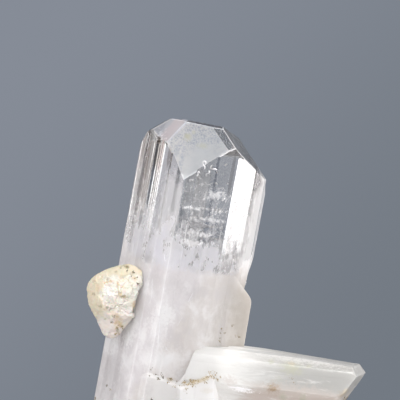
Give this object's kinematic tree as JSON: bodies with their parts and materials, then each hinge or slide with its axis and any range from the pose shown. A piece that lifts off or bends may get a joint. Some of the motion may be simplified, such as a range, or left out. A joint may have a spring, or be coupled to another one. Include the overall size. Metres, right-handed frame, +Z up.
{
  "type": "danburite crystal specimen",
  "caption": "Clear, striated danburite prism with a bevelled chisel tip on a milky foot, crossed by a white crystal, with a cream matrix lump on its flank.",
  "frame": {"origin": "middle of the bounding box, on the cut foot that the specimen rests on", "axes": "+Z up, the tall crystal leans towards +X, and the view that shows the large tip facet looks along +Y"},
  "size_m": [0.0424, 0.0298, 0.0484],
  "materials": {
    "danburite": "polished",
    "matrix": "matte"
  },
  "bodies": {
    "root": {"danburite_cluster": "danburite", "matrix_knob": "matrix"}
  },
  "joints": []
}
